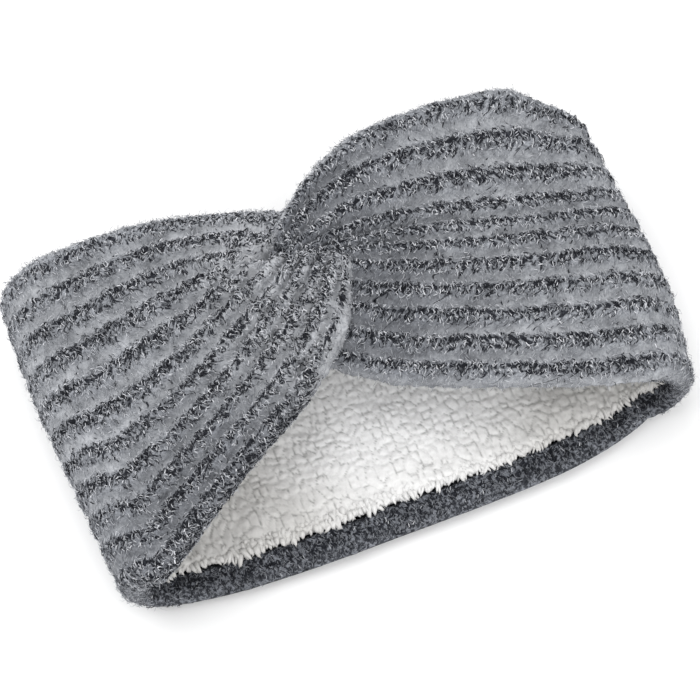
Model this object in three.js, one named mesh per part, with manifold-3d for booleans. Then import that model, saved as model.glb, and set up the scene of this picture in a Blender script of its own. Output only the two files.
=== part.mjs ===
import * as THREE from "three";
import { mergeVertices } from "three/addons/utils/BufferGeometryUtils.js";
import Module from "manifold-3d";

// Ear warmer headband: a ribbed knit loop with a twisted front, lined with fleece.
// It lies on its back panel. X runs along the loop, +Y is the upper edge, +Z is up
// and the twist is on top. All sizes are in millimetres.

// Sizes of the flattened loop
const HALF_LENGTH = 110;
const HALF_HEIGHT = 66;
const FOLD_RADIUS = 21.5;
const FRONT_TOP = 2 * FOLD_RADIUS;
const FLAT_HALF = HALF_LENGTH - FOLD_RADIUS;
const CORNER_DROP = 5;
const LOW_CORNER_DROP = 9;

// How far the gathered knit of the twist rises above the folds, and how far it turns back
const TWIST_RISE = 19;
const TURN_BACK = 6;

// Knit wall, its ribs and the hem that is turned to the inside
const KNIT = 5;
const THINNEST = 1;
const RIBS = 11;
const RIB_DEPTH = 2.2;
const FOLD_RIB_DEPTH = 1.4;
const HEM_WIDTH = 10.5;
const HEM = 3.5;
const EDGE_ROUND = 5.5;

// Fleece lining and the space that is left between the two pieces
const FLEECE = 6;
const FLEECE_SHARE = 0.83;
const GAP = 0.3;

// The underside of the front rises a little from the folds to the twist
const UNDERSIDE = FRONT_TOP - KNIT;
const UNDERSIDE_RISE = 4;

// One rib: where its points are in its width, and how deep each is as a share of the groove
const RIB_PROFILE = [
  { place: 0.0, depth: 1.0 },
  { place: 0.18, depth: 0.4 },
  { place: 0.38, depth: 0.0 },
  { place: 0.62, depth: 0.0 },
  { place: 0.82, depth: 0.4 },
];

// Lines that the front follows from the fold to the twist, six stations in each. A line keeps
// one place in the height of the band, from +1 at the top to -1. Its columns are shares: x of
// HALF_LENGTH, y of HALF_HEIGHT, and rise of TWIST_RISE.
const LEFT_LINES = [
  {
    at: 1.0,
    x: [-0.81, -0.655, -0.455, -0.275, -0.11, 0.025],
    y: [0.96, 0.94, 0.895, 0.82, 0.74, 0.59],
    rise: [0, 0.21, 0.315, 0.315, 0.21, 0.105],
  },
  {
    at: 0.455,
    x: [-0.82, -0.655, -0.5, -0.395, -0.335, -0.29],
    y: [0.44, 0.475, 0.485, 0.46, 0.425, 0.395],
    rise: [0, 0.21, 0.42, 0.685, 0.895, 0.95],
  },
  {
    at: -0.2,
    x: [-0.835, -0.68, -0.535, -0.375, -0.245, -0.115],
    y: [-0.24, -0.175, -0.085, 0.055, 0.165, 0.31],
    rise: [0, 0.235, 0.475, 0.71, 0.92, 1],
  },
  {
    at: -1.0,
    x: [-0.835, -0.645, -0.425, -0.22, -0.045, 0.045],
    y: [-0.97, -0.76, -0.53, -0.335, -0.09, 0.19],
    rise: [0, 0.105, 0.21, 0.37, 0.735, 0.95],
  },
];
const RIGHT_LINES = [
  {
    at: 1.0,
    x: [0.86, 0.735, 0.48, 0.19, -0.055, -0.185],
    y: [0.826, 0.97, 1, 0.94, 0.69, 0.425],
    rise: [0, 0.315, 0.525, 0.685, 0.79, 0.735],
  },
  {
    at: 0.455,
    x: [0.845, 0.635, 0.415, 0.18, 0.01, -0.115],
    y: [0.29, 0.355, 0.425, 0.46, 0.43, 0.35],
    rise: [0, 0.265, 0.475, 0.63, 0.79, 0.84],
  },
  {
    at: -0.09,
    x: [0.84, 0.635, 0.425, 0.245, 0.115, 0.025],
    y: [-0.06, -0.01, 0.07, 0.16, 0.225, 0.265],
    rise: [0, 0.265, 0.42, 0.525, 0.63, 0.735],
  },
  {
    at: -1.0,
    x: [0.765, 0.57, 0.375, 0.175, 0.01, -0.135],
    y: [-0.85, -0.765, -0.645, -0.515, -0.385, -0.195],
    rise: [0, 0.105, 0.16, 0.16, 0.16, 0.105],
  },
];
const STATIONS = LEFT_LINES[0].x.length - 1;

// Stations of the sections of the front, closer together where the twist gathers it, and the
// steps in which it then turns back and down
const FRONT_SECTIONS = [0, 0.5, 1, 1.5, 2, 2.5, 3, 3.5, 4, 4.4, 4.8, STATIONS];
const TURN_STEPS = 3;
const LAST_STEP = 0.2;

// Outermost points of the two folds, in equal steps from the lower edge of the band to the
// upper: x is a share of HALF_LENGTH and y one of HALF_HEIGHT
const LEFT_FOLD = {
  x: [-0.955, -0.98, -1.003, -1],
  y: [-0.91, -0.3, 0.315, 0.93],
};
const RIGHT_FOLD = {
  x: [0.945, 0.995, 0.985, 0.965],
  y: [-0.87, -0.34, 0.19, 0.72],
};

// Fleece under the front, from the left fold to the right one: where its lower and its upper
// edge are, as shares of HALF_HEIGHT
const FLEECE_FRONT = [
  { low: -0.79, high: 0.79 },
  { low: -0.485, high: 0.725 },
  { low: -0.225, high: 0.65 },
  { low: -0.045, high: 0.545 },
  { low: -0.275, high: 0.65 },
  { low: -0.5, high: 0.79 },
  { low: -0.695, high: 0.65 },
];

const clamp = (value, low, high) => Math.min(high, Math.max(low, value));
const mix = (from, to, share) => from + (to - from) * share;
const smooth = (share) => share * share * (3 - 2 * share);

// Smooth curve through rows of numbers, read at a place between the rows
function along(rows, place) {
  const last = rows.length - 1;
  const i = clamp(Math.floor(place), 0, last - 1);
  const t = place - i;
  return rows[i].map((_, k) => {
    const b = rows[i][k];
    const c = rows[i + 1][k];
    const a = i > 0 ? rows[i - 1][k] : 2 * b - c;
    const d = i + 1 < last ? rows[i + 2][k] : 2 * c - b;
    const cubic = -a + 3 * b - 3 * c + d;
    const square = 2 * a - 5 * b + 4 * c - d;
    return b + 0.5 * t * (c - a + t * (square + t * cubic));
  });
}

// Lengths of the tables above, from their shares
function lineOf({ at, x, y, rise }) {
  const line = x.map((share, i) => [
    share * HALF_LENGTH,
    y[i] * HALF_HEIGHT,
    FRONT_TOP + rise[i] * TWIST_RISE,
  ]);
  return { at, line };
}

const foldOf = ({ x, y }) => x.map((share, i) => [share * HALF_LENGTH, y[i] * HALF_HEIGHT]);

// Smooth curve across the height of the band, through the points of the lines at one station
function across(lines, station, w) {
  const points = lines.map(({ line }) => along(line, station));
  const places = lines.map(({ at }) => at);
  const slopes = points.map((_, i) => {
    const before = Math.max(0, i - 1);
    const after = Math.min(points.length - 1, i + 1);
    const width = places[after] - places[before];
    return points[i].map((_, k) => (points[after][k] - points[before][k]) / width);
  });
  let i = 0;
  while (i < points.length - 2 && w < places[i + 1]) {
    i += 1;
  }
  const width = places[i + 1] - places[i];
  const t = (w - places[i]) / width;
  const t2 = t * t;
  const t3 = t2 * t;
  return points[i].map((value, k) => {
    const start = (2 * t3 - 3 * t2 + 1) * value + (t3 - 2 * t2 + t) * width * slopes[i][k];
    const end = (3 * t2 - 2 * t3) * points[i + 1][k] + (t3 - t2) * width * slopes[i + 1][k];
    return start + end;
  });
}

const undersideAt = (x) => UNDERSIDE + UNDERSIDE_RISE * (1 - clamp((x / FLAT_HALF) ** 2, 0, 1));

// Half the height of the back panel, less at its corners and least at the lower right one
function backHalf(x, w) {
  const drop = x > 0 && w < 0 ? mix(CORNER_DROP, LOW_CORNER_DROP, -w) : CORNER_DROP;
  return HALF_HEIGHT - drop * (Math.abs(x) / FLAT_HALF) ** 4;
}

// Point on the crests of the front, past the last station where the knit turns back and down
function frontPoint(side, station, w) {
  const point = across(side.lines, Math.min(station, STATIONS), w);
  if (station <= STATIONS) {
    return point;
  }
  const before = across(side.lines, STATIONS - LAST_STEP, w);
  const dx = point[0] - before[0];
  const dy = point[1] - before[1];
  const reach = TURN_BACK / Math.hypot(dx, dy);
  const angle = (station - STATIONS) * Math.PI / 2;
  return [
    point[0] + dx * reach * Math.sin(angle),
    point[1] + dy * reach * Math.sin(angle),
    mix(undersideAt(point[0]) + RIB_DEPTH, point[2], Math.cos(angle)),
  ];
}

// Point on the crests of a fold: turn is 0 at the front and 1 at the back panel
function foldPoint(side, turn, w) {
  const start = frontPoint(side, 0, w);
  const end = [side.sign * FLAT_HALF, w * backHalf(side.sign * FLAT_HALF, w), 0];
  const [widest, level] = along(side.fold, (side.fold.length - 1) * (w + 1) / 2);
  const angle = Math.PI * turn;
  const share = smooth(turn);
  const bulge = widest - (start[0] + end[0]) / 2;
  const first = start[1] * (1 - turn) * (1 - 2 * turn);
  const last = end[1] * turn * (2 * turn - 1);
  return [
    mix(start[0], end[0], share) + bulge * Math.sin(angle),
    first + 4 * level * turn * (1 - turn) + last,
    FOLD_RADIUS * (1 + Math.cos(angle)),
  ];
}

const backPoint = (x, w) => [x, w * backHalf(x, w), 0];

// Cross-section of the knit wall: place in the height of the band and depth under the crests
function knitSection(halfHeight, wallAt, ribDepth, spot) {
  const section = [];
  const rounding = EDGE_ROUND / halfHeight;
  const hemPlace = 1 - HEM_WIDTH / halfHeight;
  const outer = (w, groove) => {
    const near = clamp((1 - Math.abs(w)) / rounding, 0, 1);
    const half = (wallAt(w) + HEM) / 2;
    const round = half * (1 - Math.sqrt(1 - (1 - near) ** 2));
    const depth = round + groove * ribDepth * smooth(near);
    section.push({ place: w, point: spot(w, depth) });
  };
  for (let rib = 0; rib < RIBS; rib += 1) {
    for (const { place, depth } of RIB_PROFILE) {
      outer(-1 + 2 * (rib + place) / RIBS, depth);
    }
  }
  outer(1, 1);
  const inner = [
    [0.98, HEM * 0.55],
    [0.93, HEM],
    [hemPlace + 0.015, HEM],
    [hemPlace - 0.015, 0],
    [hemPlace * 0.5, 0],
    [0, 0],
  ];
  for (const [w, more] of inner) {
    const depth = wallAt(w) + more;
    section.push({ place: w, point: spot(w, depth) });
  }
  for (const [w, more] of inner.slice(0, -1).reverse()) {
    const depth = wallAt(-w) + more;
    section.push({ place: -w, point: spot(-w, depth) });
  }
  return section;
}

// Cross-section of the fleece: a flat bar with rounded ends
function fleeceSection(skin, thickness, spot) {
  const profile = [
    [1, 0.5],
    [0.985, 0.12],
    [0.9, 0],
    [0.45, 0],
    [0, 0],
    [-0.45, 0],
    [-0.9, 0],
    [-0.985, 0.12],
    [-1, 0.5],
    [-0.985, 0.88],
    [-0.9, 1],
    [-0.45, 1],
    [0, 1],
    [0.45, 1],
    [0.9, 1],
    [0.985, 0.88],
  ];
  return profile.map(([w, share]) => {
    const depth = skin + share * thickness;
    return { place: w, point: spot(w, depth) };
  });
}

// Triangles that close the end of a loft, between the outer and the inner line of its section
function capFaces(section, first, forward) {
  const outerCount = RIBS * RIB_PROFILE.length + 1;
  const places = section.map(({ place }) => place);
  const faces = [];
  let outer = 0;
  let inner = section.length - 1;
  while (outer < outerCount - 1 || inner > outerCount) {
    const stepOuter = inner === outerCount
      || (outer < outerCount - 1 && places[outer + 1] <= places[inner - 1]);
    const next = stepOuter ? outer + 1 : inner - 1;
    const corners = [outer, next, inner];
    faces.push(...(forward ? corners : corners.reverse()).map((corner) => first + corner));
    if (stepOuter) {
      outer += 1;
    } else {
      inner -= 1;
    }
  }
  return faces;
}

// Closed solid through sections with the same number of points
function loft(sections, ring) {
  const count = sections[0].length;
  const positions = sections.flatMap((section) => section.flatMap(({ point }) => point));
  const faces = [];
  const strips = ring ? sections.length : sections.length - 1;
  for (let s = 0; s < strips; s += 1) {
    const here = s * count;
    const next = ((s + 1) % sections.length) * count;
    for (let i = 0; i < count; i += 1) {
      const j = (i + 1) % count;
      faces.push(here + i, next + i, next + j);
      faces.push(here + i, next + j, here + j);
    }
  }
  if (!ring) {
    faces.push(...capFaces(sections[0], 0, true));
    faces.push(...capFaces(sections[strips], strips * count, false));
  }
  return { positions, faces };
}

const wasm = await Module();
wasm.setup();

function volumeOf(positions, faces) {
  const point = (i) => new THREE.Vector3(...positions.slice(3 * i, 3 * i + 3));
  let sum = 0;
  for (let f = 0; f < faces.length; f += 3) {
    const [a, b, c] = [point(faces[f]), point(faces[f + 1]), point(faces[f + 2])];
    sum += a.dot(b.cross(c)) / 6;
  }
  return sum;
}

function solid({ positions, faces }) {
  const outward = volumeOf(positions, faces) > 0;
  const turned = outward ? faces : faces.map((_, i) => faces[i - (i % 3) + [0, 2, 1][i % 3]]);
  return new wasm.Manifold(new wasm.Mesh({
    numProp: 3,
    vertProperties: new Float32Array(positions),
    triVerts: new Uint32Array(turned),
  }));
}

// Knit of one side: from the middle of the back, round the fold, along the front to the twist
function knitSide(side) {
  const sections = [];
  for (const x of [0, FLAT_HALF * 0.5, FLAT_HALF]) {
    const spot = (w, depth) => {
      const [px, py, pz] = backPoint(side.sign * x, w);
      return [px, py, pz + depth];
    };
    sections.push(knitSection(HALF_HEIGHT, () => KNIT, RIB_DEPTH, spot));
  }
  const turns = 6;
  for (let i = turns - 1; i > 0; i -= 1) {
    const turn = i / turns;
    const angle = Math.PI * turn;
    const spot = (w, depth) => {
      const [px, py, pz] = foldPoint(side, turn, w);
      return [px - side.sign * depth * Math.sin(angle), py, pz - depth * Math.cos(angle)];
    };
    const ribDepth = mix(RIB_DEPTH, FOLD_RIB_DEPTH, Math.sin(angle));
    sections.push(knitSection(HALF_HEIGHT, () => KNIT, ribDepth, spot));
  }
  const turned = Array.from({ length: TURN_STEPS }, (_, i) => STATIONS + (i + 1) / TURN_STEPS);
  for (const station of [...FRONT_SECTIONS, ...turned]) {
    const top = frontPoint(side, station, 1);
    const bottom = frontPoint(side, station, -1);
    const half = Math.hypot(top[0] - bottom[0], top[1] - bottom[1]) / 2;
    const wallAt = (w) => {
      const [px, , pz] = frontPoint(side, station, w);
      return Math.max(RIB_DEPTH + THINNEST, pz - undersideAt(px));
    };
    const spot = (w, depth) => {
      const [px, py, pz] = frontPoint(side, station, w);
      return [px, py, pz - depth];
    };
    sections.push(knitSection(half, wallAt, RIB_DEPTH, spot));
  }
  return solid(loft(sections, false));
}

const fleeceEdges = FLEECE_FRONT.map(({ low, high }) => [low * HALF_HEIGHT, high * HALF_HEIGHT]);

// Fleece ring just inside the knit, made larger by extra for the space that it needs
function fleeceRing(left, right, extra) {
  const skin = KNIT + GAP - extra;
  const thickness = FLEECE + 2 * extra;
  const widen = (HALF_HEIGHT * FLEECE_SHARE + extra) / HALF_HEIGHT;
  const sections = [];
  const back = (x) => fleeceSection(skin, thickness, (w, depth) => {
    const [px, py, pz] = backPoint(x, w * widen);
    return [px, py, pz + depth];
  });
  const fold = (side, turn) => fleeceSection(skin, thickness, (w, depth) => {
    const angle = Math.PI * turn;
    const [px, py, pz] = foldPoint(side, turn, w * widen);
    return [px - side.sign * depth * Math.sin(angle), py, pz - depth * Math.cos(angle)];
  });
  const front = (share) => fleeceSection(skin - KNIT, thickness, (w, depth) => {
    const from = foldPoint(left, 0, w * widen);
    const to = foldPoint(right, 0, w * widen);
    const x = mix(from[0], to[0], share);
    const [low, high] = along(fleeceEdges, share * (fleeceEdges.length - 1));
    const y = mix(low - extra, high + extra, (w + 1) / 2);
    const ends = smooth(clamp(Math.abs(2 * share - 1) * 5 - 4, 0, 1));
    return [x, mix(y, share < 0.5 ? from[1] : to[1], ends), undersideAt(x) - depth];
  });
  for (const x of [-FLAT_HALF, 0, FLAT_HALF]) {
    sections.push(back(x));
  }
  const turns = 7;
  for (let i = turns - 1; i > 0; i -= 1) {
    sections.push(fold(right, i / turns));
  }
  const steps = 20;
  for (let i = steps; i >= 0; i -= 1) {
    sections.push(front(i / steps));
  }
  for (let i = 1; i < turns; i += 1) {
    sections.push(fold(left, i / turns));
  }
  return solid(loft(sections, true));
}

function meshOf(body, name, color, roughness) {
  const { vertProperties, triVerts } = body.getMesh();
  const geometry = new THREE.BufferGeometry();
  geometry.setAttribute("position", new THREE.BufferAttribute(new Float32Array(vertProperties), 3));
  geometry.setIndex(Array.from(triVerts));
  const mesh = new THREE.Mesh(
    mergeVertices(geometry, 1e-3),
    new THREE.MeshStandardMaterial({ color, roughness, metalness: 0 }),
  );
  mesh.name = name;
  return mesh;
}

const left = { sign: -1, lines: LEFT_LINES.map(lineOf), fold: foldOf(LEFT_FOLD) };
const right = { sign: 1, lines: RIGHT_LINES.map(lineOf), fold: foldOf(RIGHT_FOLD) };
const room = fleeceRing(left, right, GAP);
const whole = knitSide(left).add(knitSide(right)).subtract(room);
// Cutting the room can leave loose crumbs of knit, so only the largest body is kept
const knit = whole.decompose().reduce((a, b) => (b.volume() > a.volume() ? b : a));
const fleece = fleeceRing(left, right, 0);

const group = new THREE.Group();
group.name = "ear_warmer_headband";
group.add(meshOf(knit, "knit_band", 0x80858f, 0.95));
group.add(meshOf(fleece, "fleece_lining", 0xe8e8e6, 1));

export default group;
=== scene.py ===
import math

import bpy
import numpy as np
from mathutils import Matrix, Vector


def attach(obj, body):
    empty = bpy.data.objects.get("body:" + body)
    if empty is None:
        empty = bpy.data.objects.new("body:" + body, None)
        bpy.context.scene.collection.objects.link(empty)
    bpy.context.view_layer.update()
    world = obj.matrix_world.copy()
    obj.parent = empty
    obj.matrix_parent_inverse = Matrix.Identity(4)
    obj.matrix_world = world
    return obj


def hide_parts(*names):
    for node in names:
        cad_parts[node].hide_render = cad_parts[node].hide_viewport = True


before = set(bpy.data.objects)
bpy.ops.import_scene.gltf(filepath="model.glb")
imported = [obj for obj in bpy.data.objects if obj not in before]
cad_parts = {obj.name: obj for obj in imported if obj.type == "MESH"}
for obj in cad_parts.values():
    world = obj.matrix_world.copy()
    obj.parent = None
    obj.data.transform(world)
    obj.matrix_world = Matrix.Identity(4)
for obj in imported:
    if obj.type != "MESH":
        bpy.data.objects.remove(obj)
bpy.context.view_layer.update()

# Sizes in millimetres, as in the part's source but for the depths of the rib grooves
MM = 0.001
HALF_LENGTH = 110.0
HALF_HEIGHT = 66.0
FOLD_RADIUS = 21.5
FRONT_TOP = 2 * FOLD_RADIUS
FLAT_HALF = HALF_LENGTH - FOLD_RADIUS
CORNER_DROP = 5.0
LOW_CORNER_DROP = 9.0
TWIST_RISE = 19.0
TURN_BACK = 6.0
KNIT = 5.0
RIBS = 11
RIB_DEPTH = 2.4
FOLD_RIB_DEPTH = 0.4
HEM_WIDTH = 10.5
HEM = 3.5
EDGE_ROUND = 5.5
FLEECE = 6.0
FLEECE_SHARE = 0.83
GAP = 0.3
UNDERSIDE = FRONT_TOP - KNIT
UNDERSIDE_RISE = 4.0
STATIONS = 5


def line(at, x, y, rise):
    """Points of a line of the front, from shares of the length, the height and the rise."""
    columns = (
        np.array(x) * HALF_LENGTH,
        np.array(y) * HALF_HEIGHT,
        FRONT_TOP + np.array(rise) * TWIST_RISE,
    )
    return at, np.stack(columns, -1)


# Lines that the front follows from the fold to the twist, from the upper edge to the lower
LEFT_LINES = (
    line(
        1.0,
        (-0.81, -0.655, -0.455, -0.275, -0.11, 0.025),
        (0.96, 0.94, 0.895, 0.82, 0.74, 0.59),
        (0, 0.21, 0.315, 0.315, 0.21, 0.105),
    ),
    line(
        0.455,
        (-0.82, -0.655, -0.5, -0.395, -0.335, -0.29),
        (0.44, 0.475, 0.485, 0.46, 0.425, 0.395),
        (0, 0.21, 0.42, 0.685, 0.895, 0.95),
    ),
    line(
        -0.2,
        (-0.835, -0.68, -0.535, -0.375, -0.245, -0.115),
        (-0.24, -0.175, -0.085, 0.055, 0.165, 0.31),
        (0, 0.235, 0.475, 0.71, 0.92, 1),
    ),
    line(
        -1.0,
        (-0.835, -0.645, -0.425, -0.22, -0.045, 0.045),
        (-0.97, -0.76, -0.53, -0.335, -0.09, 0.19),
        (0, 0.105, 0.21, 0.37, 0.735, 0.95),
    ),
)
RIGHT_LINES = (
    line(
        1.0,
        (0.86, 0.735, 0.48, 0.19, -0.055, -0.185),
        (0.826, 0.97, 1, 0.94, 0.69, 0.425),
        (0, 0.315, 0.525, 0.685, 0.79, 0.735),
    ),
    line(
        0.455,
        (0.845, 0.635, 0.415, 0.18, 0.01, -0.115),
        (0.29, 0.355, 0.425, 0.46, 0.43, 0.35),
        (0, 0.265, 0.475, 0.63, 0.79, 0.84),
    ),
    line(
        -0.09,
        (0.84, 0.635, 0.425, 0.245, 0.115, 0.025),
        (-0.06, -0.01, 0.07, 0.16, 0.225, 0.265),
        (0, 0.265, 0.42, 0.525, 0.63, 0.735),
    ),
    line(
        -1.0,
        (0.765, 0.57, 0.375, 0.175, 0.01, -0.135),
        (-0.85, -0.765, -0.645, -0.515, -0.385, -0.195),
        (0, 0.105, 0.16, 0.16, 0.16, 0.105),
    ),
)


def fold(x, y):
    """Outermost points of a fold, in equal steps from the lower edge to the upper, from shares."""
    return np.stack([np.array(x) * HALF_LENGTH, np.array(y) * HALF_HEIGHT], -1)


# Sign of X, lines, and the fold of each side
LEFT = (-1, LEFT_LINES, fold((-0.955, -0.98, -1.003, -1), (-0.91, -0.3, 0.315, 0.93)))
RIGHT = (1, RIGHT_LINES, fold((0.945, 0.995, 0.985, 0.965), (-0.87, -0.34, 0.19, 0.72)))

FLEECE_FRONT = HALF_HEIGHT * np.array(
    (
        (-0.79, 0.79),
        (-0.485, 0.725),
        (-0.225, 0.65),
        (-0.045, 0.545),
        (-0.275, 0.65),
        (-0.5, 0.79),
        (-0.695, 0.65),
    )
)


# Shapes, as in the part's source but for whole arrays of places


def smooth(t):
    return t * t * (3 - 2 * t)


def mix(a, b, t):
    return a + (b - a) * t


def ramp(low, high, value):
    return smooth(np.clip((value - low) / (high - low), 0, 1))


def along(rows, place):
    rows = np.asarray(rows, float)
    place = np.asarray(place, float)
    padded = np.vstack([2 * rows[0] - rows[1], rows, 2 * rows[-1] - rows[-2]])
    i = np.clip(np.floor(place).astype(int), 0, len(rows) - 2)
    t = (place - i)[..., None]
    a, b, c, d = (padded[i + k] for k in range(4))
    cubic = -a + 3 * b - 3 * c + d
    square = 2 * a - 5 * b + 4 * c - d
    return b + 0.5 * t * (c - a + t * (square + t * cubic))


def across(lines, station, w):
    places = np.array([at for at, _ in lines])
    points = np.stack([along(rows, station) for _, rows in lines])
    last = len(lines) - 1
    before = np.maximum(np.arange(last + 1) - 1, 0)
    after = np.minimum(np.arange(last + 1) + 1, last)
    width = (places[after] - places[before]).reshape(-1, *([1] * (points.ndim - 1)))
    slopes = (points[after] - points[before]) / width
    i = np.sum([w < places[k] for k in range(1, last)], axis=0)
    pick = np.arange(i.size)
    flat = points.reshape(last + 1, -1, 3)
    flat_slopes = slopes.reshape(last + 1, -1, 3)
    j = i.ravel()
    span = (places[j + 1] - places[j])[:, None]
    t = ((w.ravel() - places[j])[:, None]) / span
    t2, t3 = t * t, t * t * t
    start = (2 * t3 - 3 * t2 + 1) * flat[j, pick] + (t3 - 2 * t2 + t) * span * flat_slopes[j, pick]
    end = (3 * t2 - 2 * t3) * flat[j + 1, pick] + (t3 - t2) * span * flat_slopes[j + 1, pick]
    return (start + end).reshape(*w.shape, 3)


def underside_at(x):
    return UNDERSIDE + UNDERSIDE_RISE * (1 - np.clip((x / FLAT_HALF) ** 2, 0, 1))


def back_half(x, w):
    drop = np.where((x > 0) & (w < 0), mix(CORNER_DROP, LOW_CORNER_DROP, -w), CORNER_DROP)
    return HALF_HEIGHT - drop * (np.abs(x) / FLAT_HALF) ** 4


def front_point(side, station, w):
    lines = side[1]
    inner = np.minimum(station, STATIONS)
    point = across(lines, inner, w)
    before = across(lines, np.full(w.shape, STATIONS - 0.2), w)
    step = across(lines, np.full(w.shape, float(STATIONS)), w) - before
    reach = TURN_BACK / np.hypot(step[..., 0], step[..., 1])
    angle = np.maximum(station - STATIONS, 0) * math.pi / 2
    past = station > STATIONS
    point[..., 0] += np.where(past, step[..., 0] * reach * np.sin(angle), 0)
    point[..., 1] += np.where(past, step[..., 1] * reach * np.sin(angle), 0)
    low = underside_at(point[..., 0]) + RIB_DEPTH
    point[..., 2] = np.where(past, mix(low, point[..., 2], np.cos(angle)), point[..., 2])
    return point


def fold_point(side, turn, w):
    sign, _, outermost = side
    start = front_point(side, np.zeros(w.shape), w)
    end_x = sign * FLAT_HALF
    end_y = w * back_half(np.full(w.shape, end_x), w)
    place = (len(outermost) - 1) * (w + 1) / 2
    widest, level = np.moveaxis(along(outermost, place), -1, 0)
    angle = math.pi * turn
    bulge = widest - (start[..., 0] + end_x) / 2
    first = start[..., 1] * (1 - turn) * (1 - 2 * turn)
    last = end_y * turn * (2 * turn - 1)
    return np.stack(
        [
            mix(start[..., 0], end_x, smooth(turn)) + bulge * np.sin(angle),
            first + 4 * level * turn * (1 - turn) + last,
            FOLD_RADIUS * (1 + np.cos(angle)),
        ],
        -1,
    )


def back_point(x, w):
    return np.stack([x, w * back_half(x, w), np.zeros(w.shape)], -1)


# One side of the loop has a path: 0 to 1 the back, 1 to 2 the fold, 2 to 7 the front, 7 to 8 turned back


def crest(side, path, w):
    """Point on the crests, and the direction out of the wall there."""
    sign = side[0]
    point = np.zeros((*w.shape, 3))
    out = np.zeros((*w.shape, 3))
    in_back = path < 1
    in_fold = (path >= 1) & (path < 2)
    in_front = path >= 2
    if in_back.any():
        point[in_back] = back_point(sign * FLAT_HALF * path[in_back], w[in_back])
        out[in_back] = (0, 0, -1)
    if in_fold.any():
        turn = 2 - path[in_fold]
        point[in_fold] = fold_point(side, turn, w[in_fold])
        angle = math.pi * turn
        out[in_fold] = np.stack([sign * np.sin(angle), np.zeros(turn.shape), np.cos(angle)], -1)
    if in_front.any():
        point[in_front] = front_point(side, path[in_front] - 2, w[in_front])
        out[in_front] = (0, 0, 1)
    return point, out


def wall_at(path, point):
    front = np.maximum(RIB_DEPTH + 1, point[..., 2] - underside_at(point[..., 0]))
    return np.where(path >= 2, front, KNIT)


def half_height(side, path):
    """Half the height of the band at each place of the path, measured along it."""
    ends = [crest(side, path, np.full(path.shape, w))[0] for w in (1.0, -1.0)]
    return np.linalg.norm(ends[0] - ends[1], axis=-1) / 2


def rib_groove(w):
    """0 on the raised row of a rib and 1 at the bottom of the groove beside it."""
    phase = np.mod((w + 1) * RIBS / 2, 1)
    return ramp(0.3, 0.98, np.abs(2 * phase - 1))


def dark_row(w):
    """Strength of the dark flecks, highest on the upper side of each raised row."""
    phase = np.mod((w + 1) * RIBS / 2, 1)
    body = ramp(0.13, 0.36, phase) * (1 - ramp(0.66, 0.78, phase))
    return np.clip(0.6 * body + 0.55 * np.exp(-(((phase - 0.64) / 0.08) ** 2)), 0, 1)


def light_row(w):
    """Strength of the light band just above each dark row."""
    phase = np.mod((w + 1) * RIBS / 2, 1)
    return np.exp(-(((phase - 0.84) / 0.1) ** 2))


# Noise made of numbers at the corners of a lattice, the same on each run


def hashed(i, j, k, seed):
    n = (i * 73856093) ^ (j * 19349663) ^ (k * 83492791) ^ (seed * 2654435761)
    n = (n ^ (n >> 13)) * 1274126177
    n = n & 0x7FFFFFFF
    n = (n ^ (n >> 16)) & 0xFFFF
    return n / 65535.0


def noise(points, size, seed):
    p = np.asarray(points, float) / size
    base = np.floor(p).astype(np.int64)
    t = smooth(p - base)
    total = 0
    for dx in (0, 1):
        for dy in (0, 1):
            for dz in (0, 1):
                corner = hashed(base[..., 0] + dx, base[..., 1] + dy, base[..., 2] + dz, seed)
                weight = (
                    np.where(dx, t[..., 0], 1 - t[..., 0])
                    * np.where(dy, t[..., 1], 1 - t[..., 1])
                    * np.where(dz, t[..., 2], 1 - t[..., 2])
                )
                total = total + corner * weight
    return total


def cells(u, v, size, seed):
    """Distance to the nearest and to the second nearest of scattered points on a plane."""
    pu, pv = u / size, v / size
    iu, iv = np.floor(pu).astype(np.int64), np.floor(pv).astype(np.int64)
    first = np.full(u.shape, 9.0)
    second = np.full(u.shape, 9.0)
    for du in (-1, 0, 1):
        for dv in (-1, 0, 1):
            a, b = iu + du, iv + dv
            x = a + 0.15 + 0.7 * hashed(a, b, a * 0 + 1, seed)
            y = b + 0.15 + 0.7 * hashed(a, b, a * 0 + 2, seed)
            d = np.hypot(pu - x, pv - y)
            second = np.minimum(second, np.maximum(first, d))
            first = np.minimum(first, d)
    return first, second


# Meshes


def make_mesh(name, points, faces, attributes=(), smooth_shade=True):
    """Mesh object from points in millimetres and faces that all have as many corners."""
    mesh = bpy.data.meshes.new(name)
    count, corners = faces.shape
    mesh.vertices.add(len(points))
    mesh.vertices.foreach_set("co", (np.asarray(points) * MM).astype(np.float32).ravel())
    mesh.loops.add(count * corners)
    mesh.loops.foreach_set("vertex_index", faces.ravel().astype(np.int32))
    mesh.polygons.add(count)
    mesh.polygons.foreach_set("loop_start", np.arange(count, dtype=np.int32) * corners)
    mesh.update(calc_edges=True)
    for label, values in attributes:
        attribute = mesh.attributes.new(label, "FLOAT", "POINT")
        attribute.data.foreach_set("value", np.asarray(values, np.float32).ravel())
    mesh.polygons.foreach_set("use_smooth", np.full(count, smooth_shade))
    mesh.validate()
    piece = bpy.data.objects.new(name, mesh)
    bpy.context.scene.collection.objects.link(piece)
    return piece


def grid_normals(grid):
    """Normals of a grid of points whose columns close to a ring."""
    beside = np.roll(grid, -1, 1) - np.roll(grid, 1, 1)
    normal = np.cross(np.gradient(grid, axis=0), beside)
    return normal / np.maximum(np.linalg.norm(normal, axis=-1, keepdims=True), 1e-9)


def tube_quads(rows, columns, ring_rows):
    count = rows if ring_rows else rows - 1
    r = np.arange(count)[:, None]
    c = np.arange(columns)[None, :]
    here, there = r * columns, ((r + 1) % rows) * columns
    beside = (c + 1) % columns
    quads = np.stack([here + c, there + c, there + beside, here + beside], -1)
    return quads.reshape(-1, 4)


# Camera, at the photograph's angle

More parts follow.
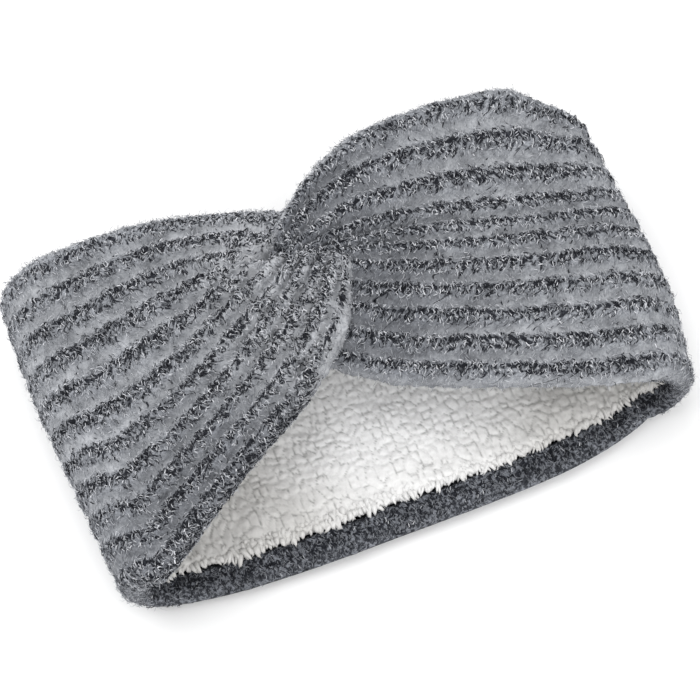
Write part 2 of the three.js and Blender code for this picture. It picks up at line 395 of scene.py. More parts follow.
AZIMUTH, ELEVATION, DISTANCE = math.radians(-21.5), math.radians(66), 0.88
PX_PER_MM = 2.866
PICTURE_WIDTH = 700
SENSOR_WIDTH = 36
back_axis = Vector(
    (
        math.sin(AZIMUTH) * math.cos(ELEVATION),
        -math.cos(AZIMUTH) * math.cos(ELEVATION),
        math.sin(ELEVATION),
    )
)
right_axis = Vector((math.cos(AZIMUTH), math.sin(AZIMUTH), 0))
up_axis = back_axis.cross(right_axis)
target = Vector((0, 0, 0.02)) - right_axis * 0.0014 - up_axis * 0.0011
camera = bpy.data.objects.new("camera", bpy.data.cameras.new("camera"))
camera.data.sensor_width = SENSOR_WIDTH
camera.data.lens = PX_PER_MM * DISTANCE / MM / PICTURE_WIDTH * SENSOR_WIDTH
camera.data.clip_start = 0.05
camera.data.clip_end = 20
camera.location = target + back_axis * DISTANCE
camera.rotation_euler = back_axis.to_track_quat("Z", "Y").to_euler()
bpy.context.scene.collection.objects.link(camera)
bpy.context.scene.camera = camera


# Lights and floor


def area_light(name, location, size, power, aim=(0, 0, 0.03)):
    light = bpy.data.lights.new(name, "AREA")
    light.shape = "DISK"
    light.size = size
    light.energy = power
    lamp = bpy.data.objects.new(name, light)
    lamp.location = location
    direction = Vector(aim) - Vector(location)
    lamp.rotation_euler = direction.to_track_quat("-Z", "Y").to_euler()
    bpy.context.scene.collection.objects.link(lamp)


area_light("key", (-0.45, 0.5, 1.3), 1.8, 16)
area_light("fill", (0.9, -0.6, 0.9), 1.2, 4)
area_light("front", (-0.3, -1.1, 0.75), 1.2, 5)

world = bpy.data.worlds.new("studio")
world.use_nodes = True
world.node_tree.nodes["Background"].inputs["Color"].default_value = (1, 1, 1, 1)
world.node_tree.nodes["Background"].inputs["Strength"].default_value = 0.75
bpy.context.scene.world = world
bpy.context.scene.view_settings.view_transform = "Standard"


# Materials


def new_material(name):
    material = bpy.data.materials.new(name)
    material.use_nodes = True
    tree = material.node_tree
    return material, tree, tree.nodes["Principled BSDF"]


def color_ramp(tree, source, stops):
    node = tree.nodes.new("ShaderNodeValToRGB")
    tree.links.new(source, node.inputs["Fac"])
    elements = node.color_ramp.elements
    while len(elements) < len(stops):
        elements.new(0.5)
    for element, (place, color) in zip(elements, stops):
        element.position = place
        element.color = (*color, 1)
    return node.outputs["Color"]


def noise_texture(tree, coordinates, size_mm, detail=3.0, roughness=0.55, stretch=None):
    source = coordinates
    if stretch:
        mapping = tree.nodes.new("ShaderNodeMapping")
        mapping.inputs["Scale"].default_value = stretch
        tree.links.new(coordinates, mapping.inputs["Vector"])
        source = mapping.outputs["Vector"]
    node = tree.nodes.new("ShaderNodeTexNoise")
    node.inputs["Scale"].default_value = 1000 / size_mm
    node.inputs["Detail"].default_value = detail
    node.inputs["Roughness"].default_value = roughness
    tree.links.new(source, node.inputs["Vector"])
    return node.outputs["Fac"]


def mix_color(tree, factor, first, second, blend="MIX"):
    node = tree.nodes.new("ShaderNodeMix")
    node.data_type = "RGBA"
    node.blend_type = blend
    for value, socket in ((factor, node.inputs[0]), (first, node.inputs[6]), (second, node.inputs[7])):
        if isinstance(value, (int, float)):
            socket.default_value = value
        elif isinstance(value, tuple):
            socket.default_value = (*value, 1)
        else:
            tree.links.new(value, socket)
    return node.outputs[2]


def math_node(tree, operation, first, second):
    node = tree.nodes.new("ShaderNodeMath")
    node.operation = operation
    for value, socket in ((first, node.inputs[0]), (second, node.inputs[1])):
        if isinstance(value, (int, float)):
            socket.default_value = value
        else:
            tree.links.new(value, socket)
    return node.outputs[0]


def attribute(tree, name):
    node = tree.nodes.new("ShaderNodeAttribute")
    node.attribute_name = name
    return node.outputs["Fac"]


def bump(tree, shader, height, distance_mm, strength):
    node = tree.nodes.new("ShaderNodeBump")
    node.inputs["Strength"].default_value = strength
    node.inputs["Distance"].default_value = distance_mm * MM
    tree.links.new(height, node.inputs["Height"])
    tree.links.new(node.outputs["Normal"], shader.inputs["Normal"])


DARK = (0.01, 0.011, 0.015)
DEEP = (0.045, 0.048, 0.057)
MID = (0.14, 0.147, 0.162)
LIGHT = (0.36, 0.375, 0.405)
PALE = (0.76, 0.77, 0.8)


def knit_material():
    """Knit with dark flecks on the raised rows and smooth brushed grooves between them, a painted
    highlight near the twist and painted shade beside it and on the lower left wing.
    """
    material, tree, shader = new_material("brushed_knit")
    place = tree.nodes.new("ShaderNodeCombineXYZ")
    tree.links.new(attribute(tree, "along"), place.inputs["X"])
    tree.links.new(attribute(tree, "across"), place.inputs["Y"])
    stitches = place.outputs["Vector"]
    coordinates = tree.nodes.new("ShaderNodeTexCoord").outputs["Object"]
    rib = attribute(tree, "rib")
    fleck = attribute(tree, "fleck")
    light = attribute(tree, "light")
    hem = attribute(tree, "hem")
    painted_highlight = attribute(tree, "painted_highlight")
    grain = noise_texture(tree, stitches, 1.7, 2.0, 0.55, (1, 0.6, 1))
    fine = noise_texture(tree, coordinates, 0.8, 3.0, 0.65)
    patches = noise_texture(tree, coordinates, 11.0, 2.0, 0.5)
    speckle = noise_texture(tree, coordinates, 1.3, 2.0, 0.6)
    blotches = noise_texture(tree, coordinates, 4.5, 2.0, 0.5)
    less = math_node(tree, "MULTIPLY", math_node(tree, "SUBTRACT", fleck, 0.75), 0.25)
    flecks = math_node(tree, "ADD", grain, less)
    fleck_mask = color_ramp(tree, flecks, [(0.46, (0, 0, 0)), (0.53, (1, 1, 1))])
    hem_mask = color_ramp(tree, speckle, [(0.43, (0, 0, 0)), (0.55, (1, 1, 1))])
    mask = mix_color(tree, hem, fleck_mask, hem_mask)
    brushed = noise_texture(tree, stitches, 1.1, 2.0, 0.6, (1.5, 0.45, 1))
    hairs = math_node(tree, "MULTIPLY", math_node(tree, "ADD", fine, brushed), 0.27)
    mottle = math_node(tree, "ADD", hairs, math_node(tree, "MULTIPLY", blotches, 0.46))
    mottle = math_node(tree, "ADD", mottle, math_node(tree, "MULTIPLY", light, 0.07))
    groove = color_ramp(tree, mottle, [(0.38, (0.2, 0.208, 0.224)), (0.66, (0.47, 0.482, 0.505))])
    raised = color_ramp(tree, fine, [(0.3, MID), (0.7, LIGHT)])
    highlight_color = color_ramp(tree, mottle, [(0.38, (0.4, 0.41, 0.43)), (0.66, (0.63, 0.64, 0.665))])
    dark = color_ramp(tree, fine, [(0.35, DARK), (0.65, DEEP)])
    color = mix_color(tree, rib, groove, raised)
    # Painted highlight: a lighter, smooth knit colour on the ridges and rims near the twist
    color = mix_color(tree, painted_highlight, color, highlight_color)
    color = mix_color(tree, mask, color, dark)
    shade = color_ramp(tree, patches, [(0.35, (0.82, 0.82, 0.82)), (0.65, (1.1, 1.1, 1.1))])
    color = mix_color(tree, 1.0, color, shade, "MULTIPLY")
    inside = mix_color(tree, 1.0, color, (0.68, 0.69, 0.715), "MULTIPLY")
    color = mix_color(tree, hem, color, inside)
    # Painted shade: darker knit on the right lobe by the twist and on the lower part of the left wing
    shaded_knit = mix_color(tree, 1.0, color, (0.6, 0.605, 0.62), "MULTIPLY")
    color = mix_color(tree, attribute(tree, "painted_shade"), color, shaded_knit)
    tree.links.new(color, shader.inputs["Base Color"])
    shader.inputs["Roughness"].default_value = 0.95
    shader.inputs["Sheen Weight"].default_value = 0.04
    shader.inputs["Specular IOR Level"].default_value = 0.05
    height = math_node(tree, "SUBTRACT", math_node(tree, "MULTIPLY", fine, 0.5), mask)
    bump(tree, shader, height, 0.5, 0.8)
    return material


def yarn_material():
    material, tree, shader = new_material("curled_yarn")
    shade = attribute(tree, "shade")
    color = color_ramp(
        tree, shade, [(0.0, DARK), (0.2, DEEP), (0.38, MID), (0.62, LIGHT), (1.0, PALE)]
    )
    coordinates = tree.nodes.new("ShaderNodeTexCoord").outputs["Object"]
    fine = noise_texture(tree, coordinates, 1.5, 1.0)
    tint = color_ramp(tree, fine, [(0.3, (0.85, 0.85, 0.86)), (0.7, (1.08, 1.08, 1.08))])
    color = mix_color(tree, 1.0, color, tint, "MULTIPLY")
    tree.links.new(color, shader.inputs["Base Color"])
    shader.inputs["Roughness"].default_value = 0.9
    shader.inputs["Sheen Weight"].default_value = 0.04
    shader.inputs["Specular IOR Level"].default_value = 0.05
    return material


def fleece_material(name, mask):
    """White pile, with painted shade where the mask attribute is high (the cracks between clumps of the
    lining) and where the ends attribute is high.
    """
    material, tree, shader = new_material(name)
    coordinates = tree.nodes.new("ShaderNodeTexCoord").outputs["Object"]
    crack = attribute(tree, mask)
    strands = noise_texture(tree, coordinates, 0.9, 3.0, 0.6)
    body = color_ramp(tree, strands, [(0.3, (0.8, 0.8, 0.8)), (0.62, (0.87, 0.87, 0.872))])
    painted_shade = color_ramp(tree, strands, [(0.35, (0.4, 0.4, 0.4)), (0.65, (0.62, 0.62, 0.62))])
    # Painted shade in the cracks between the clumps of pile
    color = mix_color(tree, crack, body, painted_shade)
    # Painted shade towards the ends of the loop and along its lower edge
    shaded_pile = mix_color(tree, 1.0, color, (0.74, 0.73, 0.71), "MULTIPLY")
    color = mix_color(tree, attribute(tree, "ends"), color, shaded_pile)
    tree.links.new(color, shader.inputs["Base Color"])
    shader.inputs["Roughness"].default_value = 0.95
    shader.inputs["Sheen Weight"].default_value = 0.2
    shader.inputs["Specular IOR Level"].default_value = 0.1
    bump(tree, shader, strands, 0.4, 0.35)
    return material


def floor_material():
    material, tree, shader = new_material("studio_floor")
    coordinates = tree.nodes.new("ShaderNodeTexCoord").outputs["Object"]
    grain = noise_texture(tree, coordinates, 300.0, 1.0)
    color = color_ramp(tree, grain, [(0.3, (0.93, 0.93, 0.93)), (0.7, (0.96, 0.96, 0.96))])
    tree.links.new(color, shader.inputs["Base Color"])
    shader.inputs["Roughness"].default_value = 0.9
    return material


knit_look = knit_material()
yarn_look = yarn_material()
fleece_look = fleece_material("curly_fleece", "crack")
tuft_look = fleece_material("fleece_tufts", "shade")

floor = make_mesh(
    "floor",
    np.array([(-4000, -4000, -0.6), (4000, -4000, -0.6), (4000, 4000, -0.6), (-4000, 4000, -0.6)], float),
    np.array([[0, 1, 2, 3]]),
    smooth_shade=False,
)
floor.data.materials.append(floor_material())


# Knit band

SAMPLES_PER_RIB = 14
INNER_NEAR = np.array([0.03, 0.12, 0.3, 0.55, 0.8, 1.0])
HEM_STEPS = 9
STITCH = 4.2
CHEVRON = 0.8
RIGHT_HALF_START = 1000


def section_places(rounding, hem_place):
    """Places round one section: the outer side, then the inner side from its top to its middle."""
    outer = np.linspace(-1, 1, RIBS * SAMPLES_PER_RIB + 1)
    rim = 1 - rounding * INNER_NEAR
    hem = np.linspace(rim[-1], hem_place + 0.012, HEM_STEPS + 1)[1:]
    inner = np.concatenate([rim, hem, [hem_place - 0.012, hem_place * 0.5, 0.0]])
    return outer, inner


def knit_grid(side, paths):
    """Arrays with a row for each place of the path and a column for each point of the section."""
    rows = []
    for path in paths:
        half = half_height(side, np.array([path]))[0]
        if path < 2:
            half = HALF_HEIGHT
        turn = np.clip(2 - path, 0, 1)
        rib_depth = mix(RIB_DEPTH, FOLD_RIB_DEPTH, math.sin(math.pi * turn))
        rounding = min(EDGE_ROUND / half, 0.3)
        hem_place = max(1 - HEM_WIDTH / half, 1 - 2.2 * rounding - 0.02)
        outer, inner = section_places(rounding, hem_place)
        w = np.concatenate([outer, inner, -inner[:-1][::-1]])
        at = np.full(w.shape, path)
        point, out = crest(side, at, w)
        wall = wall_at(at, point)
        thick = wall + HEM
        near = np.clip((1 - np.abs(w)) / rounding, 0, 1)
        round_depth = thick / 2 * (1 - np.sqrt(1 - (1 - near) ** 2))
        groove = rib_groove(w)
        outer_depth = round_depth + groove * rib_depth * smooth(near)
        in_hem = np.abs(w) > hem_place
        inner_depth = np.where(in_hem, thick - round_depth, wall)
        is_outer = np.arange(len(w)) < len(outer)
        depth = np.where(is_outer, outer_depth, inner_depth)
        rib = np.where(is_outer, 1 - groove, 0.9)
        inward = np.where(is_outer, 0, (1 - np.abs(w)) * half)
        on_back = 1 - ramp(1.4, 1.9, path)
        at_rim = 0.85 * ramp(0.93, 0.98, np.abs(w)) * is_outer
        inner_hem = mix(0.85, 1.0, ramp(1.5, 8.0, inward)) * on_back
        hem = np.where(is_outer, at_rim * on_back, np.maximum(inner_hem, ramp(0.5, 4.0, inward)))
        shows = in_hem | is_outer
        place = point - out * depth[:, None]
        rows.append((place, rib, is_outer, shows, w, w * half, hem, inward))
    return tuple(np.stack(column) for column in zip(*rows))


def knit_piece(side, name):
    """One half of the band, with the arrays that the yarn on it is scattered from."""
    back = np.linspace(0, 1, 36)[:-1]
    turn = np.linspace(1, 2, 62)[:-1]
    front = np.linspace(2, 7, 150)[:-1]
    turned = np.linspace(7, 8, 9)
    paths = np.concatenate([back, turn, front, turned])
    points, rib, is_outer, shows, w, v, hem, inward = knit_grid(side, paths)
    step = np.linalg.norm(np.diff(points, axis=0, prepend=points[:1]), axis=-1)
    u = np.cumsum(step, axis=0) + (side[0] > 0) * RIGHT_HALF_START
    pitch = 2 * HALF_HEIGHT / RIBS
    from_crest = np.abs(np.mod(v + HALF_HEIGHT, pitch) - pitch / 2)
    along_rib = u + CHEVRON * from_crest
    normals = grid_normals(points) * -side[0]
    coarse = noise(points, 2.6, 11) - 0.5
    small = noise(points, 1.2, 12) - 0.5
    lump = noise(points, 9.0, 13) - 0.5
    stitch = np.cos(2 * math.pi * along_rib / STITCH) * noise(points, 6.0, 14)
    push = (1.3 * coarse + 0.45 * stitch) * (0.3 + 0.7 * rib) + 0.5 * small + 0.9 * lump
    on_fold = np.exp(-(((paths - 1.5) / 0.24) ** 2))[:, None]
    rests = (paths < 1)[:, None] & is_outer
    push = np.where(shows, push, 0) * np.where(rests, 0.15, 1 - 0.5 * on_fold)
    push[0] = 0
    points = points + normals * push[..., None]
    points[..., 2] = np.maximum(points[..., 2], 0)
    rows, columns = rib.shape
    quads = tube_quads(rows, columns, False)
    if side[0] > 0:
        quads = quads[:, ::-1]
    rim = ramp(0.9, 0.965, np.abs(w)) * is_outer
    gather = ramp(4.6, 5.6, paths)[:, None]
    # Painted highlight on the twist's ridges and on the rims near it, where the knit is also drawn
    # smoother, with fewer flecks and lower ribs
    if side[0] < 0:
        ridge = ramp(6.3, 6.7, paths)[:, None] * mix(0.5, 0.8, ramp(-0.3, 0.1, w))
        beside = 0.8 * ramp(4.6, 5.8, paths)[:, None] * np.exp(-(((w - 0.43) / 0.11) ** 2))
        wide = 0.5 * ramp(3.8, 5.8, paths)[:, None]
        painted_highlight = np.maximum(np.maximum(ridge, beside), np.maximum(wide, 0.9 * rim * (w < 0) * gather))
        # Painted shade on the lower part of the left wing
        painted_shade = 0.65 * ramp(0.15, 0.75, -w) * (1 - ramp(3.5, 5.0, paths))[:, None]
    else:
        painted_highlight = 0.7 * rim * (w > 0) * gather
        # Painted shade on the right lobe by the twist, less at its rims
        painted_shade = 0.85 * ramp(3.8, 5.6, paths)[:, None] * (1 - 0.5 * rim)
    painted_highlight = np.clip(painted_highlight * (0.7 + 0.6 * noise(points, 6.0, 15)), 0, 1) * is_outer
    plain_rim = rim * np.where(w > 0, 0.85, mix(0.15, 0.85, gather))
    fade = 1 - np.clip(0.65 * on_fold + plain_rim + 0.8 * ramp(0.5, 0.8, painted_highlight), 0, 0.85)
    fleck = dark_row(w) * fade * is_outer
    if side[0] < 0:
        low_rim = 0.8 * rim * (w < 0) * (1 - gather) * (1 - on_fold)
        fleck = np.maximum(fleck, low_rim)
    rib = rib * (1 - 0.6 * ramp(0.45, 0.9, painted_highlight))
    attributes = [
        ("rib", rib),
        ("fleck", fleck),
        ("light", light_row(w) * is_outer),
        ("hem", hem),
        ("painted_highlight", painted_highlight),
        ("painted_shade", painted_shade * is_outer),
        ("along", along_rib * MM),
        ("across", v * MM),
    ]
    piece = make_mesh(name, points.reshape(-1, 3), quads, attributes)
    piece.data.materials.append(knit_look)
    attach(piece, "root")
    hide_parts("knit_band")
    return {
        "points": points,
        "normals": grid_normals(points) * -side[0],
        "rib": rib,
        "fleck": fleck,
        "painted_highlight": painted_highlight,
        "rim": ramp(0.93, 0.985, np.abs(w)),
        "inward": inward,
        "outer": is_outer,
        "shows": shows,
        "paths": paths,
    }


left_grid = knit_piece(LEFT, "knit_left_half")
right_grid = knit_piece(RIGHT, "knit_right_half")


# Fleece lining

CLUMP = 3.1
TUFT_STEP = 0.65


def fleece_loops():
    """Base points, inward directions and depth of the knit, for each loop round the fleece."""
    w = np.linspace(-1, 1, 190)
    lining = w * FLEECE_SHARE
    zero = np.zeros(w.shape)

    def back(x):
        return back_point(np.full(w.shape, x), lining), (0.0, 0.0, -1.0), KNIT + GAP

    def round_fold(side, turn):
        angle = math.pi * turn
        out = (side[0] * math.sin(angle), 0.0, math.cos(angle))
        return fold_point(side, np.full(w.shape, turn), lining), out, KNIT + GAP

    def front(share):
        start = fold_point(LEFT, zero, lining)
        end = fold_point(RIGHT, zero, lining)
        x = mix(start[:, 0], end[:, 0], share)
        low, high = along(FLEECE_FRONT, np.array(share * (len(FLEECE_FRONT) - 1.0)))
        ends = smooth(min(max(abs(2 * share - 1) * 5 - 4, 0), 1))
        y = mix(mix(low, high, (w + 1) / 2), (start if share < 0.5 else end)[:, 1], ends)
        return np.stack([x, y, underside_at(x)], -1), (0.0, 0.0, 1.0), GAP

    loops = [back(x) for x in np.linspace(-FLAT_HALF, FLAT_HALF, 326)[:-1]]
    loops += [round_fold(RIGHT, turn) for turn in np.linspace(1, 0, 41)[:-1]]
    loops += [front(share) for share in np.linspace(1, 0, 46)[:-1]]
    loops += [round_fold(LEFT, turn) for turn in np.linspace(0, 1, 41)[:-1]]
    base = np.stack([point for point, _, _ in loops])
    out = np.array([direction for _, direction, _ in loops])[:, None, :]
    skin = np.array([depth for _, _, depth in loops])[:, None]
    return w, base, out, skin


def painted_shade_amount(x, y):
    """How much painted shade the fleece gets at the two ends of the loop and along its lower edge."""
    ends = np.maximum(1.6 * ramp(5.0, 85.0, -x), 1.2 * ramp(20.0, 85.0, x))
    return np.clip(ends + 0.4 * ramp(28.0, 52.0, -y), 0, 1.35)


def fleece_piece():
    w, base, out, skin = fleece_loops()
    middle = base[:, len(w) // 2] - out[:, 0] * (KNIT + FLEECE / 2)
    step = np.linalg.norm(np.diff(middle, axis=0, prepend=middle[:1]), axis=1)
    u = np.cumsum(step)[:, None] + np.zeros(w.shape)
    v = base[..., 1]
    flat = np.stack([u, v, v * 0], -1)
    warp_u = 2.6 * (noise(flat, 5.0, 21) - 0.5)
    warp_v = 2.6 * (noise(flat, 5.0, 22) - 0.5)
    reach = np.abs(v)
    drawn = np.sign(v) * (0.9 * np.minimum(reach, 42) + 0.5 * np.maximum(reach - 42, 0))
    first, second = cells(u + warp_u, drawn + warp_v, CLUMP, 5)
    dome = np.clip(second - first, 0, 1)
    broken = ramp(0.25, 0.6, noise(flat, 2.4, 25))
    # Where the pile gets painted shade, in the cracks between the clumps
    crack = (1 - ramp(0.02, 0.15, dome)) * (0.35 + 0.65 * broken)
    puff = 0.8 * np.sqrt(np.clip(dome * 1.8, 0, 1)) * (0.6 + 0.4 * broken)
    fine = noise(flat, 1.1, 23) - 0.5
    swell = noise(flat, 9.0, 24) - 0.5
    near = np.clip((1 - np.abs(w)) / 0.05, 0, 1)
    edge = FLEECE / 2 * (1 - np.sqrt(1 - (1 - near) ** 2))
    inner_depth = skin + FLEECE - 0.9 + puff + 0.45 * fine + 1.4 * swell - edge
    inner = base - out * inner_depth[..., None]
    outer = base - out * (skin + edge)[..., None]
    points = np.concatenate([inner, outer[:, ::-1][:, ::9]], axis=1)
    hidden = np.full((len(u), points.shape[1] - len(w)), 0.5)
    mask = np.concatenate([crack, hidden], axis=1)
    # Painted shade at the ends of the loop and along its lower edge
    ends = painted_shade_amount(points[..., 0], points[..., 1])
    rows, columns = mask.shape
    quads = tube_quads(rows, columns, True)
    attributes = [("crack", mask), ("ends", ends)]
    piece = make_mesh("fleece_pile", points.reshape(-1, 3), quads[:, ::-1], attributes)
    piece.data.materials.append(fleece_look)
    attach(piece, "root")
    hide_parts("fleece_lining")


fleece_piece()


# Strands: yarn loops and fuzz on the knit, and tufts along the edges of the fleece


MAP_CELL = 1.5
MAP_CORNER = (-130, -85)
MAP_CELLS = (200, 120)
COVER = 3.5


def map_cells(points):
    """Column and row of the height map under each point."""
    cell = ((points[:, :2] - MAP_CORNER) / MAP_CELL).astype(int)
    return tuple(np.clip(cell, 0, np.array(MAP_CELLS) - 1).T)


def height_map(grids):
    """Highest knit over each cell of the plane, to leave out the yarn that another layer covers."""
    table = np.zeros(MAP_CELLS)
    for grid in grids:
        spots = grid["points"].reshape(-1, 3)
        np.maximum.at(table, map_cells(spots), spots[:, 2])
    return table


def covered(points, table):
    return table[map_cells(points)] - points[:, 2] > COVER


def scatter(grid, count, choose, rng, table):
    """Random places on the chosen cells, as point, normal and the directions along and across a rib."""
    points, normals = grid["points"], grid["normals"]
    across_step = np.roll(points, -1, 1) - points
    along_step = np.zeros_like(points)
    along_step[:-1] = points[1:] - points[:-1]
    area = np.linalg.norm(np.cross(across_step, along_step), axis=-1)
    weight = (area * choose).ravel()
    total = np.cumsum(weight)
    cell = np.searchsorted(total, rng.random(count) * total[-1])
    row, column = np.unravel_index(np.minimum(cell, weight.size - 1), area.shape)
    a, b = rng.random((2, count, 1))
    root = points[row, column] + a * across_step[row, column] + b * along_step[row, column]
    normal = normals[row, column]
    lengthwise = along_step[row, column]
    lengthwise = lengthwise / np.maximum(np.linalg.norm(lengthwise, axis=1, keepdims=True), 1e-9)
    crosswise = np.cross(normal, lengthwise)
    keep = ~(covered(root, table) & (grid["paths"][row] >= 2))
    return tuple(x[keep] for x in (root, normal, lengthwise, crosswise))


def strands(name, path, radius, values, sides=3):
    """Closed strands through the points of each path, pointed at both ends."""
    count, length, _ = path.shape
    tangent = path[:, -1] - path[:, 0]
    tangent = tangent / np.maximum(np.linalg.norm(tangent, axis=1, keepdims=True), 1e-9)
    helper = np.where(np.abs(tangent[:, 2:3]) > 0.8, (1.0, 0.0, 0.0), (0.0, 0.0, 1.0))
    beside = np.cross(tangent, helper)
    beside = beside / np.linalg.norm(beside, axis=1, keepdims=True)
    other = np.cross(tangent, beside)
    rings = []
    for k in range(1, length - 1):
        for corner in range(sides):
            angle = 2 * math.pi * corner / sides
            offset = beside * math.cos(angle) + other * math.sin(angle)
            rings.append(path[:, k] + offset * radius[:, k - 1, None])
    points = np.stack([path[:, 0], *rings, path[:, -1]], 1)
    per = points.shape[1]
    faces = []
    for corner in range(sides):
        near = (corner + 1) % sides
        faces.append((0, 1 + near, 1 + corner))
        for k in range(length - 3):
            low, high = 1 + sides * k, 1 + sides * (k + 1)
            faces.append((low + corner, low + near, high + near))
            faces.append((low + corner, high + near, high + corner))
        end = 1 + sides * (length - 3)
        faces.append((per - 1, end + corner, end + near))
    all_faces = np.array(faces)[None] + (np.arange(count) * per)[:, None, None]
    attributes = [(label, np.repeat(value, per)) for label, value in values]
    piece = make_mesh(name, points.reshape(-1, 3), all_faces.reshape(-1, 3), attributes)
    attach(piece, "root")
    return piece


def yarn(name, path, radius, shade):
    path[..., 2] = np.maximum(path[..., 2], 0.2)
    piece = strands(name, path, radius[:, None] * np.ones(path.shape[1] - 2), [("shade", shade)])
    piece.data.materials.append(yarn_look)


def yarn_shade(rng, count, dark, light):
    """Places on the colour ramp, with a share of dark and of light strands."""
    pick = rng.random(count)
    value = rng.uniform(0.36, 0.56, count)
    value = np.where(pick < dark, rng.uniform(0.0, 0.14, count), value)
    return np.where(pick > 1 - light, rng.uniform(0.66, 1.0, count), value)


def yarn_loops(name, grid, count, choose, seed, table, dark, light, highest, thickest):
    """Short arches of yarn, with both ends in the knit."""
    rng = np.random.default_rng(seed)
    root, normal, lengthwise, crosswise = scatter(grid, count, choose, rng, table)
    number = len(root)
    angle = rng.normal(0, 0.7, number)
    flat = crosswise * np.cos(angle)[:, None] + lengthwise * np.sin(angle)[:, None]
    turn = np.cross(normal, flat)
    size = rng.uniform(1.3, 2.5, number)[:, None]
    bow = rng.uniform(-0.6, 0.6, number)[:, None]
    rise = rng.uniform(0.1, highest, number)[:, None]
    high = turn * bow * size + normal * rise
    path = np.stack(
        [
            root - flat * 0.5 * size - normal * 0.3,
            root - flat * 0.28 * size + high,
            root + flat * 0.28 * size + high,
            root + flat * 0.5 * size - normal * 0.3,
        ],
        1,
    )
    yarn(name, path, rng.uniform(0.12, thickest, number), yarn_shade(rng, number, dark, light))


def fuzz(name, grid, count, choose, seed, table, stand, longest):
    """Thin light hairs brushed across the ribs."""
    rng = np.random.default_rng(seed)
    root, normal, lengthwise, crosswise = scatter(grid, count, choose, rng, table)
    number = len(root)
    angle = rng.normal(0, 0.6, number) + math.pi * rng.integers(0, 2, number)
    flat = crosswise * np.cos(angle)[:, None] + lengthwise * np.sin(angle)[:, None]
    size = rng.uniform(0.5 * longest, longest, number)[:, None]
    lift = (rng.random(number) ** 2 * stand + 0.04)[:, None]
    path = np.stack(
        [
            root - normal * 0.2,
            root + (flat * 0.5 + normal * lift * 0.8) * size,
            root + (flat + normal * lift) * size,
        ],
        1,
    )
    yarn(name, path, rng.uniform(0.06, 0.11, number), rng.uniform(0.42, 0.98, number))


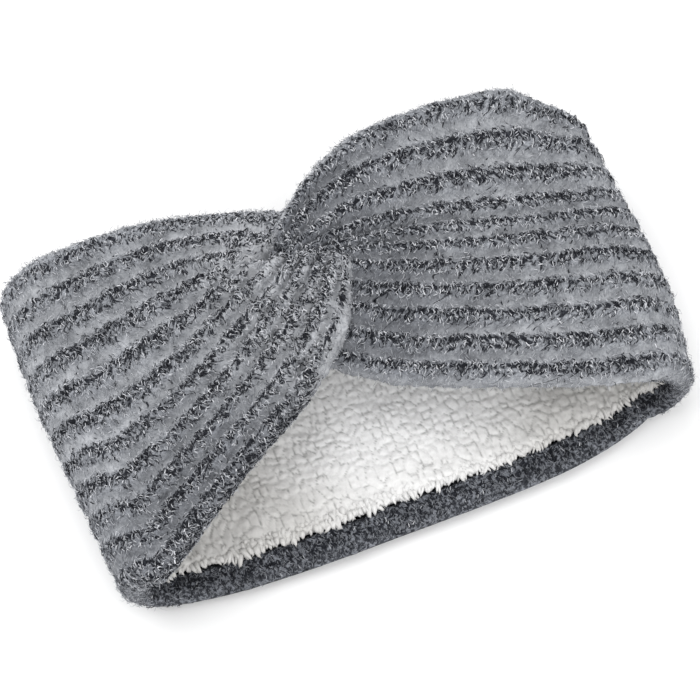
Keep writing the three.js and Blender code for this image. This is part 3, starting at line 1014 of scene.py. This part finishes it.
def fleece_tufts(name, sign, seed):
    """Pointed tufts of fleece that hang over the hem, along one edge of the lining."""
    rng = np.random.default_rng(seed)
    paths = []
    radii = []
    fold_length = math.pi * FOLD_RADIUS
    for side in (LEFT, RIGHT):
        for layer in range(2):
            place = np.concatenate(
                [
                    np.arange(0, FLAT_HALF, TUFT_STEP) / FLAT_HALF,
                    1 + np.arange(0, fold_length, TUFT_STEP) / fold_length,
                ]
            )
            count = len(place)
            place = np.clip(place + rng.normal(0, 0.004, count), 0, 1.98)
            bunch = noise(np.stack([place * 90, place * 0, place * 0 + layer], -1), 3.2, seed + side[0])
            reach = sign * FLEECE_SHARE * (0.985 - 0.04 * layer + rng.normal(0, 0.008, count))
            start, out = crest(side, place, reach)
            end, _ = crest(side, place, sign * np.minimum(np.abs(reach) + 0.06, 0.97))
            outward = end - start
            outward = outward / np.linalg.norm(outward, axis=1, keepdims=True)
            lean = rng.normal(0, 0.4, count)
            aim = outward + np.cross(out, outward) * lean[:, None]
            size = rng.uniform(0.6, 1.0, count) * (1.6 + 3.2 * bunch ** 1.5)
            size = size[:, None]
            under = KNIT + GAP + FLEECE - 2.4 + rng.uniform(0, 1.8, count)
            inner = start - out * under[:, None]
            fall = rng.uniform(0.2, 0.6, count)[:, None]
            curl = np.cross(out, outward) * rng.normal(0, 0.5, count)[:, None]
            paths.append(
                np.stack(
                    [
                        inner - aim * 1.8 + out * 0.8,
                        inner - aim * 0.3 - out * 0.2,
                        inner + aim * 0.4 * size,
                        inner + (aim * 0.75 + curl * 0.15) * size + out * fall * 1.4,
                        inner + (aim + curl * 0.5) * size + out * fall * 3.4,
                    ],
                    1,
                )
            )
            radii.append(rng.uniform(0.4, 0.95, count))
    path = np.concatenate(paths)
    path[..., 2] = np.maximum(path[..., 2], 0.4)
    radius = np.concatenate(radii)[:, None] * np.array([1.3, 1.1, 0.75])
    # The tufts get the same painted shade at the ends and lower edge as the lining
    values = [("shade", rng.uniform(0, 0.2, len(path))), ("ends", painted_shade_amount(path[:, 0, 0], path[:, 0, 1]))]
    piece = strands(name, path, radius, values, 5)
    piece.data.materials.append(tuft_look)


heights = height_map((left_grid, right_grid))
for label, grid, seed in (("left", left_grid, 100), ("right", right_grid, 200)):
    paths = grid["paths"][:, None]
    seen = np.where(paths < 1.45, 0.35, 1.0) * grid["outer"] * (paths >= 0.95)
    bunched = ramp(0.35, 0.65, noise(grid["points"], 5.0, seed + 7))
    flecked = seen * grid["fleck"] ** 2 * (0.15 + 0.85 * bunched)
    # Few loops where the painted highlight lies
    plain = 1 - 0.85 * ramp(0.5, 0.8, grid["painted_highlight"])
    raised = seen * plain * (0.05 + 0.95 * ramp(0.25, 0.7, grid["rib"]))
    brushed = seen * (0.4 + 0.6 * (1 - grid["rib"]))
    inside = ~grid["outer"] & grid["shows"]
    hem = inside * ramp(0.6, 2.2, grid["inward"]) * np.where(grid["points"][..., 1] < 0, 1.0, 0.35)
    yarn_loops(f"dark_loops_{label}", grid, 4200, flecked, seed, heights, 0.85, 0.05, 0.45, 0.26)
    yarn_loops(f"light_loops_{label}", grid, 9000, raised, seed + 3, heights, 0.14, 0.46, 0.65, 0.19)
    fuzz(f"yarn_fuzz_{label}", grid, 9000, brushed, seed + 1, heights, 0.6, 3.6)
    rim = grid["rim"] * (paths >= 1.3)
    fuzz(f"rim_fuzz_{label}", grid, 3000, rim, seed + 4, heights, 0.5, 2.3)
    yarn_loops(f"hem_loops_{label}", grid, 3800, hem, seed + 2, heights, 0.5, 0.02, 0.5, 0.17)
near_twist = ramp(4.6, 6.2, left_grid["paths"])[:, None] * left_grid["outer"]
# No twist loops where the painted highlight lies
near_twist = near_twist * (1 - 0.85 * ramp(0.5, 0.8, left_grid["painted_highlight"]))
near_twist = near_twist * ramp(0.4, 0.7, noise(left_grid["points"], 4.0, 402))
yarn_loops("twist_loops", left_grid, 2200, near_twist, 401, heights, 0.4, 0.55, 0.7, 0.24)
fleece_tufts("fleece_tufts_lower", -1, 301)
fleece_tufts("fleece_tufts_upper", 1, 302)
